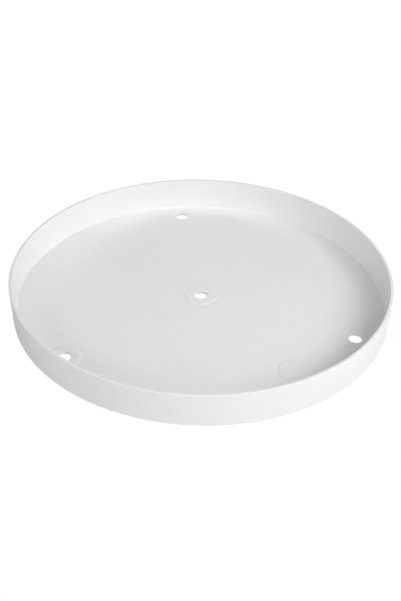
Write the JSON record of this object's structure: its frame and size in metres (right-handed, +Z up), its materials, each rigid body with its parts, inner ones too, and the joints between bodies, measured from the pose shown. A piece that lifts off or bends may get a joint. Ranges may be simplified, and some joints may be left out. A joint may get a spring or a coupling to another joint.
{
  "type": "lazy susan turntable",
  "caption": "Round moulded tray with an upright wall and open holes that turns on a caged ball ring over a low base ring with rubber feet.",
  "frame": {"origin": "on the resting surface, under the centre of the tray", "axes": "+Z up along the axis of rotation, +Y from the centre to the first outer hole of the tray"},
  "size_m": [0.35, 0.35, 0.043],
  "materials": {
    "tray_plastic": "white polypropylene, satin, moulded",
    "base_plastic": "white polypropylene, satin, moulded",
    "cage_plastic": "natural acetal, satin, moulded",
    "ball_steel": "polished bearing steel",
    "screw_steel": "zinc plated steel",
    "foot_rubber": "grey non-slip rubber, matt"
  },
  "bodies": {
    "base": {"base_ring": "base_plastic", "foot_1": "foot_rubber", "foot_2": "foot_rubber", "foot_3": "foot_rubber", "foot_4": "foot_rubber", "foot_5": "foot_rubber", "foot_6": "foot_rubber"},
    "turntable": {"tray": "tray_plastic", "keeper_ring": "base_plastic", "keeper_screws": "screw_steel"},
    "bearing": {"ball_cage": "cage_plastic", "ball_01": "ball_steel", "ball_02": "ball_steel", "ball_03": "ball_steel", "ball_04": "ball_steel", "ball_05": "ball_steel", "ball_06": "ball_steel", "ball_07": "ball_steel", "ball_08": "ball_steel", "ball_09": "ball_steel", "ball_10": "ball_steel", "ball_11": "ball_steel", "ball_12": "ball_steel", "ball_13": "ball_steel", "ball_14": "ball_steel", "ball_15": "ball_steel", "ball_16": "ball_steel"}
  },
  "joints": [
    {"name": "tray_spin", "type": "hinge", "parent": "base", "child": "turntable", "pos_m": [0, 0, 0.011], "axis": [0, 0, 1], "continuous": true},
    {"name": "cage_spin", "type": "hinge", "parent": "base", "child": "bearing", "pos_m": [0, 0, 0.011], "axis": [0, 0, 1], "continuous": true}
  ],
  "couplings": [
    {"joint": "cage_spin", "follows": "tray_spin", "ratio": 0.5}
  ]
}
